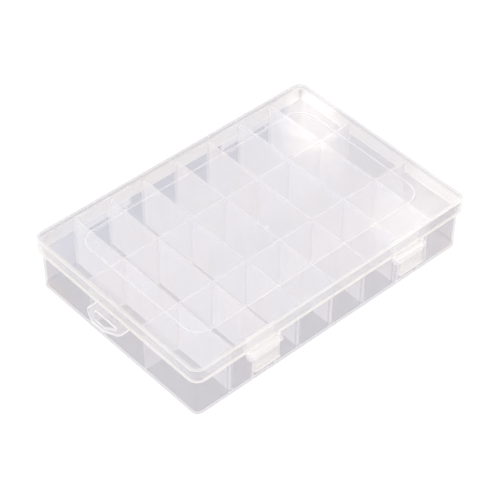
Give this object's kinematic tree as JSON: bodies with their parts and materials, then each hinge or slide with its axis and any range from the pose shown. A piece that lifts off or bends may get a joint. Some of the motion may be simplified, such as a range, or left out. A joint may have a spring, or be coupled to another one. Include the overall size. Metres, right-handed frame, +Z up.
{
  "type": "embroidery thread box",
  "caption": "Shallow clear plastic thread box with a hinged lid, snap latches, loose slot-in dividers and a hang tab.",
  "frame": {"origin": "centre of the underside, midway between the lid's ends and its long sides, on the table", "axes": "+X along the box away from the hang tab, -Y the latch side and +Y the hinge side, +Z up through the lid"},
  "size_m": [0.2036, 0.1402, 0.036],
  "materials": {
    "tray_plastic": "translucent satin",
    "divider_plastic": "translucent satin",
    "lid_plastic": "translucent gloss with a frosted middle",
    "latch_plastic": "translucent gloss"
  },
  "bodies": {
    "base": {"base_tray": "tray_plastic", "divider_front_1": "divider_plastic", "divider_front_2": "divider_plastic", "divider_front_3": "divider_plastic", "divider_front_4": "divider_plastic", "divider_front_5": "divider_plastic", "divider_front_6": "divider_plastic", "divider_front_7": "divider_plastic", "divider_middle_1": "divider_plastic", "divider_middle_2": "divider_plastic", "divider_middle_3": "divider_plastic", "divider_middle_4": "divider_plastic", "divider_middle_5": "divider_plastic", "divider_middle_6": "divider_plastic", "divider_middle_7": "divider_plastic", "divider_rear_1": "divider_plastic", "divider_rear_2": "divider_plastic", "divider_rear_3": "divider_plastic", "divider_rear_4": "divider_plastic", "divider_rear_5": "divider_plastic", "divider_rear_6": "divider_plastic", "divider_rear_7": "divider_plastic"},
    "lid": {"lid": "lid_plastic"},
    "latch_left": {"latch_left": "latch_plastic"},
    "latch_right": {"latch_right": "latch_plastic"}
  },
  "joints": [
    {"name": "lid_hinge", "type": "hinge", "parent": "base", "child": "lid", "pos_m": [0, 0.0679, 0.0242], "axis": [-1, 0, 0], "range_deg": [0, 180]},
    {"name": "latch_left_hinge", "type": "hinge", "parent": "lid", "child": "latch_left", "pos_m": [-0.052, -0.0674, 0.0245], "axis": [-1, 0, 0], "range_deg": [0, 95]},
    {"name": "latch_right_hinge", "type": "hinge", "parent": "lid", "child": "latch_right", "pos_m": [0.052, -0.0674, 0.0245], "axis": [-1, 0, 0], "range_deg": [0, 95]}
  ]
}
